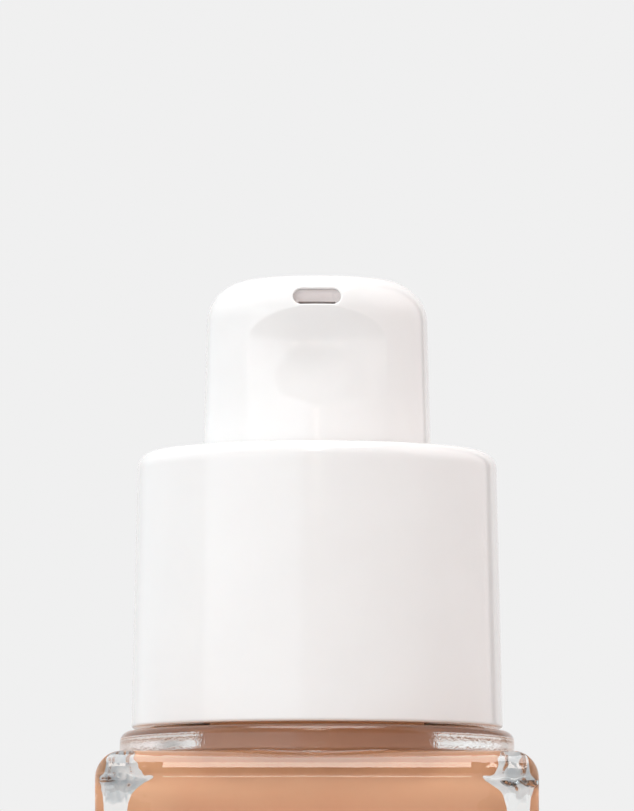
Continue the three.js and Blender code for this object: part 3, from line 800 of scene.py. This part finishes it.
def build_head_core():
    """Socket on the stem, the disc that locates it in the head, and the flat spout behind the orifice."""
    low, high = box_mm("head_core")
    socket = 3.5
    stem_hole = 2.5
    stem_top = HEAD_TOP - 7.3
    disc_low = stem_top - 4
    disc_high = disc_low + 1.2
    disc_radius = high[0]
    shape = Shape()
    turned(shape, rounded([
        (0, high[2], 0),
        (socket, high[2], 0.4),
        (socket, disc_high, 0.3),
        (disc_radius, disc_high, 0.2),
        (disc_radius, disc_low, 0.2),
        (socket, disc_low, 0.2),
        (socket, low[2], 0.3),
        (stem_hole, low[2], 0.2),
        (stem_hole, stem_top, 0.1),
        (0, stem_top, 0),
    ])[::-1], around=96)
    face = low[1] + 0.35
    bar_half, bar_radius, bar_z = ORIFICE_HALF + 0.8, 0.85, ORIFICE_Z - 0.1
    slit_half, slit_radius, slit_z = ORIFICE_HALF - 0.4, 0.16, ORIFICE_Z - 0.55
    rows = [
        slot_row(bar_half, bar_radius, bar_z, -1.5),
        slot_row(bar_half, bar_radius, bar_z, face + 0.2),
        slot_row(bar_half - 0.06, bar_radius - 0.06, bar_z, face + 0.06),
        slot_row(bar_half - 0.2, bar_radius - 0.2, bar_z, face),
        slot_row(slit_half + 0.05, slit_radius + 0.05, slit_z, face),
        slot_row(slit_half, slit_radius, slit_z, face + 0.05),
        slot_row(slit_half, slit_radius, slit_z, face + 2.5),
    ]
    rings = [shape.row(points) for points in rows]
    for back, front in zip(rings, rings[1:]):
        shape.join(front, back)
    shape.faces.append(tuple(rings[0]))
    shape.faces.append(tuple(rings[-1][::-1]))
    return make_piece("head_spout", shape, SPOUT_PAINTED_SHADE, "head", ["head_core"])


# ------------------------------------------------------------------ studio


BACKDROP = 0.871

# Soft-edged panels of light in the surroundings. Each has its azimuth from and to, in degrees round from the
# front and + to the right, its elevation from and to, and the light that it adds.
PANELS = {
    "key, left of the camera": (-75, -9.6, -6, 25, (1.82, 1.91, 1.96)),
    "key, high": (-75, -9.6, 25, 60, (0.3, 0.31, 0.31)),
    "left wall": (-146, -75, -6, 60, (0.8, 0.84, 0.86)),
    "right of the camera": (-9.6, 70, -6, 20, (1.06, 0.99, 0.97)),
    "right wall": (70, 139, -6, 60, (0.8, 0.72, 0.71)),
    "backdrop, left": (-181, -146, -6, 60, (0.6, 0.6, 0.6)),
    "backdrop, right": (148, 181, -6, 60, (0.6, 0.6, 0.6)),
    "strip over the camera": (-2.2, 2.2, 8, 11, (7.0, 6.0, 5.2)),
    "softbox, front edge": (-6, 4, 46, 70, (9.0, 8.0, 7.3)),
    "softbox, overhead": (-181, 181, 70, 91, (4.6, 4.65, 4.7)),
}
AMBIENT = (0.23, 0.226, 0.225)
PANEL_EDGE = 1.6                    # degrees over which a panel fades


def world_light():
    """Studio surroundings: bright on the left, dimmer on the right, with gaps that draw edges."""
    world = bpy.data.worlds.new("studio")
    bpy.context.scene.world = world
    world.use_nodes = True
    tree = world.node_tree
    tree.nodes.clear()

    def calculate(operation, *values):
        return math_node(tree, operation, *values)

    def inside(value, start, end):
        """1 between two angles, falling off over the panels' soft edge."""
        rise = calculate("MULTIPLY", calculate("SUBTRACT", value, start), 1 / PANEL_EDGE)
        fall = calculate("MULTIPLY", calculate("SUBTRACT", end, value), 1 / PANEL_EDGE)
        nearest = calculate("ADD", calculate("MINIMUM", rise, fall), 0.5)
        return calculate("MINIMUM", calculate("MAXIMUM", nearest, 0.0), 1.0)

    direction = tree.nodes.new("ShaderNodeTexCoord").outputs["Generated"]
    split = tree.nodes.new("ShaderNodeSeparateXYZ")
    tree.links.new(direction, split.inputs["Vector"])
    towards_camera = calculate("MULTIPLY", split.outputs["Y"], -1.0)
    to_degrees = 180 / math.pi
    heading = calculate("ARCTAN2", split.outputs["X"], towards_camera)
    azimuth = calculate("MULTIPLY", heading, to_degrees)
    elevation = calculate("MULTIPLY", calculate("ARCSINE", split.outputs["Z"]), to_degrees)

    total = None
    for start, end, low, high, colour in PANELS.values():
        mask = calculate("MULTIPLY", inside(azimuth, start, end), inside(elevation, low, high))
        panel = tree.nodes.new("ShaderNodeVectorMath")
        panel.operation = "MULTIPLY_ADD"
        tree.links.new(mask, panel.inputs[0])
        panel.inputs[1].default_value = colour
        if total is None:
            panel.inputs[2].default_value = AMBIENT
        else:
            tree.links.new(total, panel.inputs[2])
        total = panel.outputs[0]

    lighting = tree.nodes.new("ShaderNodeBackground")
    tree.links.new(total, lighting.inputs["Color"])
    backdrop = tree.nodes.new("ShaderNodeBackground")
    backdrop.inputs["Color"].default_value = (BACKDROP, BACKDROP, BACKDROP, 1)
    mix = tree.nodes.new("ShaderNodeMixShader")
    path = tree.nodes.new("ShaderNodeLightPath")
    tree.links.new(path.outputs["Is Camera Ray"], mix.inputs["Fac"])
    tree.links.new(lighting.outputs[0], mix.inputs[1])
    tree.links.new(backdrop.outputs[0], mix.inputs[2])
    tree.links.new(mix.outputs[0], tree.nodes.new("ShaderNodeOutputWorld").inputs["Surface"])
    world.cycles.sampling_method = "MANUAL"
    world.cycles.sample_map_resolution = 2048


def floor():
    half = 3.0
    corners = [(-half, -half, 0), (half, -half, 0), (half, half, 0), (-half, half, 0)]
    mesh = bpy.data.meshes.new("floor")
    mesh.from_pydata(corners, [], [(0, 1, 2, 3)])
    surface = bpy.data.objects.new("floor", mesh)
    bpy.context.scene.collection.objects.link(surface)
    nodes = Nodes("floor_paint")
    dark, light = (0.5, 0.49, 0.485), (0.52, 0.51, 0.505)
    nodes.link(nodes.ramp(nodes.noise(12, 4), dark, light), nodes.shader.inputs["Base Color"])
    nodes.set(Roughness=0.7)
    mesh.materials.append(nodes.material)


def camera():
    """Low, far off, with a long lens, and tilted up to the collar and the head."""
    distance = 690.0
    aim_height = 79.4
    eye = Vector((0, -distance, BODY_HEIGHT - 26.6)) * MM
    aim = Vector((0, 0, aim_height)) * MM
    data = bpy.data.cameras.new("camera")
    data.sensor_width = 36
    data.lens = 368.4
    data.clip_start = 0.05
    data.clip_end = 20
    holder = bpy.data.objects.new("camera", data)
    holder.location = eye
    holder.rotation_mode = "QUATERNION"
    holder.rotation_quaternion = (aim - eye).to_track_quat("-Z", "Y")
    bpy.context.scene.collection.objects.link(holder)
    bpy.context.scene.camera = holder


def tone():
    view = bpy.context.scene.view_settings
    view.view_transform = "Standard"
    view.look = "None"


build_glass()
build_liquid()
build_collar()
build_head()
build_head_core()
for node, material in CAD_FINISHES.items():
    finish_node(node, material)
world_light()
floor()
camera()
tone()
